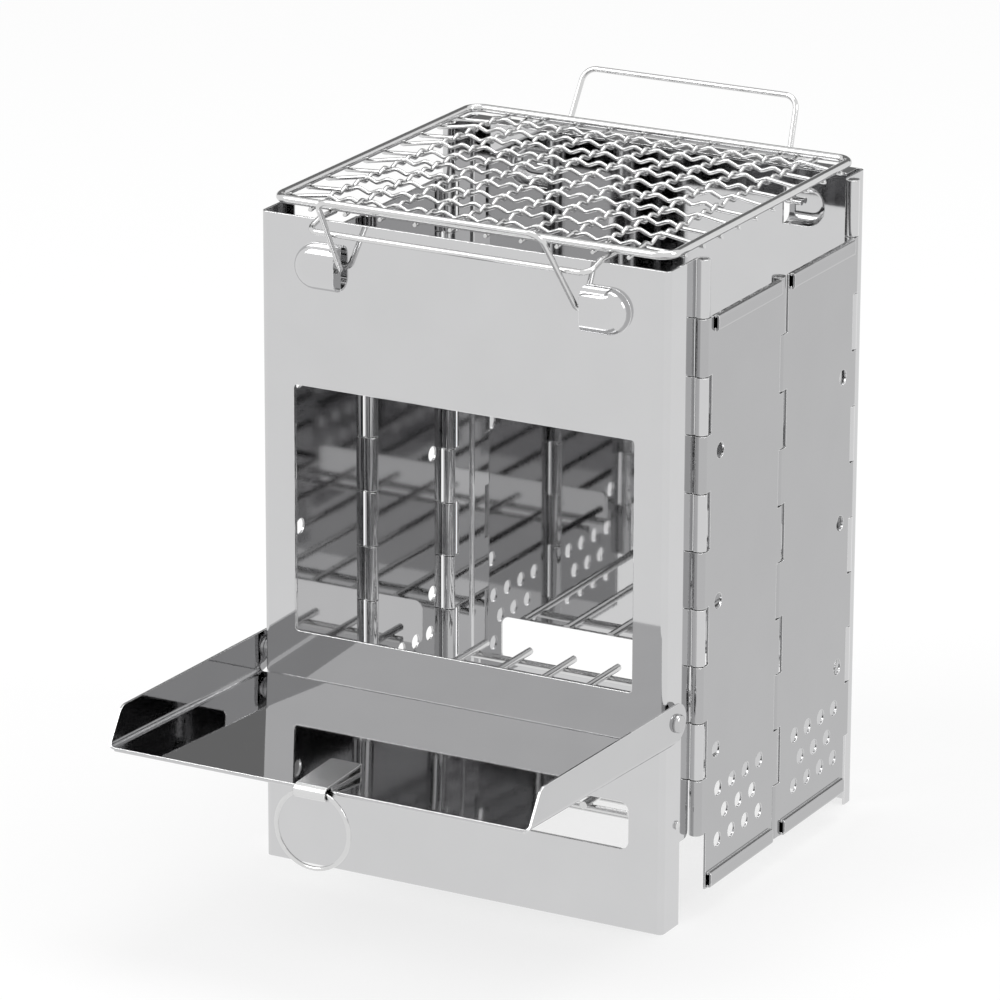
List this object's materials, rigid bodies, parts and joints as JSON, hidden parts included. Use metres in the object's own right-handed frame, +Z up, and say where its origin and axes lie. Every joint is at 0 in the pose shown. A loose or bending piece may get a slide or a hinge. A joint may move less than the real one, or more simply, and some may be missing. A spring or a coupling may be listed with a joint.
{
  "type": "folding camping grill",
  "caption": "Upright folding box grill of polished sheet with a drop-down fuel tray, woven top net, hinged side walls and wire handles.",
  "frame": {"origin": "on the floor at the middle of the front panel's bottom edge, half way through its sheet", "axes": "+Z up, -Y towards the front with the fuel tray, +X to the right seen from the front"},
  "size_m": [0.1784, 0.2904, 0.2693],
  "materials": {
    "polished_sheet": "polished stainless sheet",
    "hinge_steel": "plain steel pin",
    "bright_wire": "bright drawn stainless wire",
    "rivet_steel": "bright rivet steel"
  },
  "bodies": {
    "front": {"front_panel": "polished_sheet", "tray_rivets": "rivet_steel", "tray_washers": "rivet_steel", "right_front_hinge_pin": "hinge_steel", "left_front_hinge_pin": "hinge_steel"},
    "right_front": {"right_front_wall": "polished_sheet", "right_middle_hinge_pin": "hinge_steel"},
    "right_rear": {"right_rear_wall": "polished_sheet"},
    "back": {"back_panel": "polished_sheet", "right_rear_hinge_pin": "hinge_steel"},
    "left_front": {"left_front_wall": "polished_sheet", "left_middle_hinge_pin": "hinge_steel"},
    "left_rear": {"left_rear_wall": "polished_sheet", "left_rear_hinge_pin": "hinge_steel"},
    "tray": {"fuel_tray": "polished_sheet", "ring_clip": "polished_sheet"},
    "ring": {"pull_ring": "bright_wire"},
    "handle_front": {"front_handle": "bright_wire"},
    "handle_rear": {"rear_handle": "bright_wire"},
    "net": {"net_frame": "bright_wire", "net_mesh": "bright_wire", "front_bracket": "bright_wire", "rear_bracket": "bright_wire"},
    "grate": {"grate_rods": "bright_wire", "grate_cross_bars": "bright_wire"}
  },
  "joints": [
    {"name": "fold", "type": "hinge", "parent": "front", "child": "right_front", "pos_m": [0.085, 0.022, 0.14], "axis": [0, 0, -1], "range_deg": [0, 86]},
    {"name": "right_middle_hinge", "type": "hinge", "parent": "right_front", "child": "right_rear", "pos_m": [0.085, 0.0828, 0.12], "axis": [0, 0, 1], "range_deg": [0, 172]},
    {"name": "right_rear_hinge", "type": "hinge", "parent": "right_rear", "child": "back", "pos_m": [0.085, 0.1436, 0.14], "axis": [0, 0, -1], "range_deg": [0, 86]},
    {"name": "left_front_hinge", "type": "hinge", "parent": "front", "child": "left_front", "pos_m": [-0.085, 0.022, 0.14], "axis": [0, 0, 1], "range_deg": [0, 86]},
    {"name": "left_middle_hinge", "type": "hinge", "parent": "left_front", "child": "left_rear", "pos_m": [-0.085, 0.0828, 0.12], "axis": [0, 0, -1], "range_deg": [0, 172]},
    {"name": "tray_hinge", "type": "hinge", "parent": "front", "child": "tray", "pos_m": [0, 0.0051, 0.0807], "axis": [-1, 0, 0], "range_deg": [0, 87.8]},
    {"name": "ring_swing", "type": "hinge", "parent": "tray", "child": "ring", "pos_m": [0, -0.10825, 0.07625], "axis": [1, 0, 0], "range_deg": [-88, 35]},
    {"name": "front_handle_swing", "type": "hinge", "parent": "front", "child": "handle_front", "pos_m": [0, -0.0036, 0.2326], "axis": [1, 0, 0], "range_deg": [0, 130]},
    {"name": "rear_handle_swing", "type": "hinge", "parent": "back", "child": "handle_rear", "pos_m": [0, 0.1612, 0.2326], "axis": [-1, 0, 0], "range_deg": [0, 130]},
    {"name": "net_lift", "type": "slide", "parent": "front", "child": "net", "axis": [0, 0, 1], "range_m": [0, 0.125]},
    {"name": "grate_swing", "type": "hinge", "parent": "front", "child": "grate", "pos_m": [0, 0.01, 0.0396], "axis": [1, 0, 0], "range_deg": [0, 86]}
  ],
  "couplings": [
    {"joint": "right_middle_hinge", "follows": "fold", "ratio": 2},
    {"joint": "right_rear_hinge", "follows": "fold", "ratio": 1},
    {"joint": "left_front_hinge", "follows": "fold", "ratio": 1},
    {"joint": "left_middle_hinge", "follows": "fold", "ratio": 2},
    {"joint": "net_lift", "follows": "fold", "m_per_rad": 0.08},
    {"joint": "grate_swing", "follows": "fold", "ratio": 1}
  ]
}
